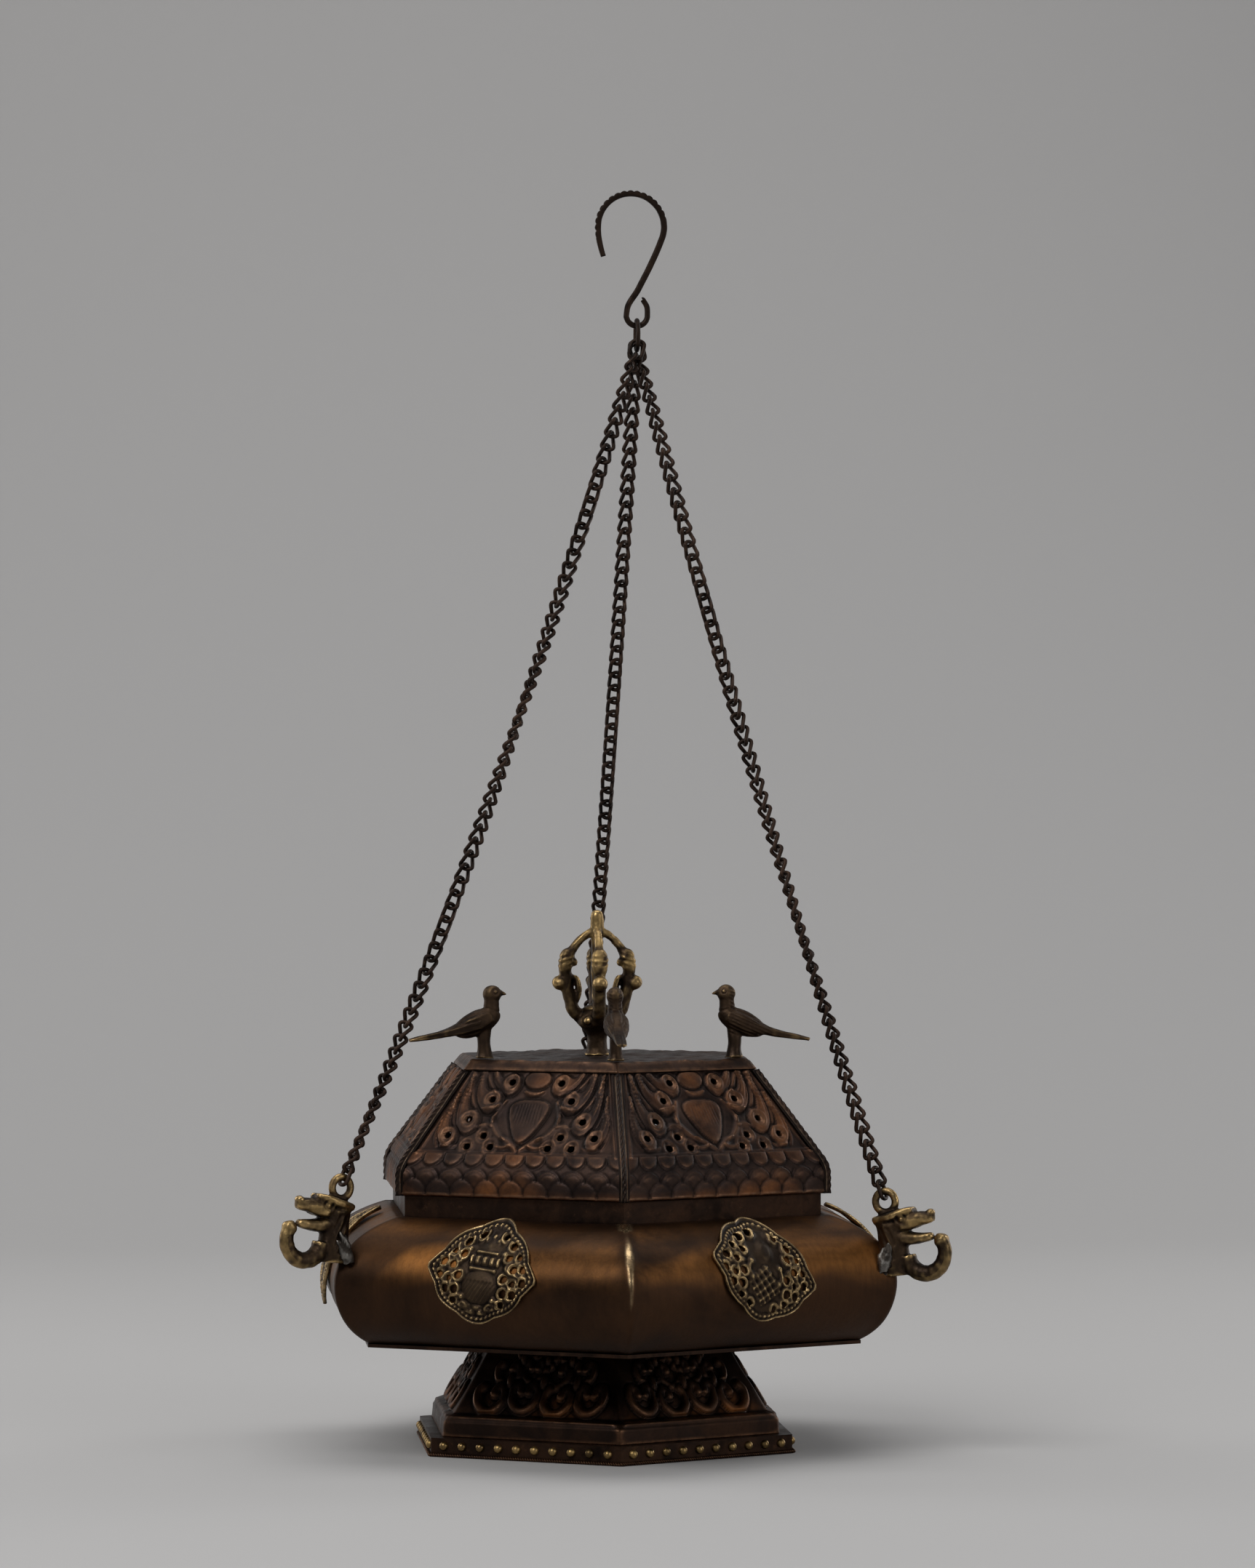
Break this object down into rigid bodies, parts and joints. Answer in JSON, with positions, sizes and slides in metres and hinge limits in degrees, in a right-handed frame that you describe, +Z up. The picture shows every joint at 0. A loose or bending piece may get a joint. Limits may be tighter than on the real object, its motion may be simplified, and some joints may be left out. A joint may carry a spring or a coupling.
{
  "type": "hanging incense burner",
  "caption": "Hexagonal hanging censer with pierced lift-off lid, flared foot, bird and thunderbolt castings, chains and a wire hook.",
  "frame": {"origin": "centre of the hook's bend, where the rod or nail that the censer hangs from goes", "axes": "+Z up, along the hang; -Y towards the bowl's front corner; X across the hook's flat"},
  "size_m": [0.2292, 0.2429, 0.4385],
  "materials": {
    "hook_strip": "worn dark patina",
    "chain_metal": "dark patina",
    "cast_brass": "dark patina, rubbed bright on high points",
    "bird_brass": "dark patina, rubbed bright on high points",
    "solder": "dull grey",
    "bowl_copper": "brown patina, polished in places",
    "plaque_brass": "dark in the recesses, rubbed bright on the relief",
    "foot_copper": "dark brown patina",
    "bead_brass": "bright worn domes",
    "lid_copper": "dark brown patina with copper showing through",
    "seam_strip": "dark patina with solder traces"
  },
  "bodies": {
    "hook": {"hook": "hook_strip"},
    "top_link": {"top_link": "chain_metal"},
    "censer": {"chain_left": "chain_metal", "chain_right": "chain_metal", "chain_rear": "chain_metal", "bracket_left": "cast_brass", "bracket_right": "cast_brass", "bracket_rear": "cast_brass", "solder_seats": "solder", "bowl_wall": "bowl_copper", "bowl_floor": "bowl_copper", "bowl_collar": "bowl_copper", "medallion_front_left": "plaque_brass", "medallion_front_right": "plaque_brass", "medallion_right": "plaque_brass", "medallion_rear_right": "plaque_brass", "medallion_rear_left": "plaque_brass", "medallion_left": "plaque_brass", "foot_shell": "foot_copper", "foot_band": "foot_copper", "foot_rope": "foot_copper", "foot_beads": "bead_brass"},
    "lid": {"bird_left": "bird_brass", "bird_front": "bird_brass", "bird_right": "bird_brass", "lid_panel_front_left": "lid_copper", "lid_panel_front_right": "lid_copper", "lid_panel_right": "lid_copper", "lid_panel_rear_right": "lid_copper", "lid_panel_rear_left": "lid_copper", "lid_panel_left": "lid_copper", "lid_plate": "lid_copper", "lid_seams": "seam_strip", "finial": "cast_brass", "finial_washer": "cast_brass"}
  },
  "joints": [
    {"name": "hook_swing", "type": "hinge", "parent": "hook", "child": "top_link", "pos_m": [0.00205, 0, -0.0348], "axis": [1, 0, 0], "range_deg": [-45, 45]},
    {"name": "ring_swing", "type": "hinge", "parent": "top_link", "child": "censer", "pos_m": [0.00205, 0, -0.04265], "axis": [0, 1, 0], "range_deg": [-25, 25]},
    {"name": "lid_lift", "type": "slide", "parent": "censer", "child": "lid", "axis": [0, 0, 1], "range_m": [0, 0.03]}
  ]
}
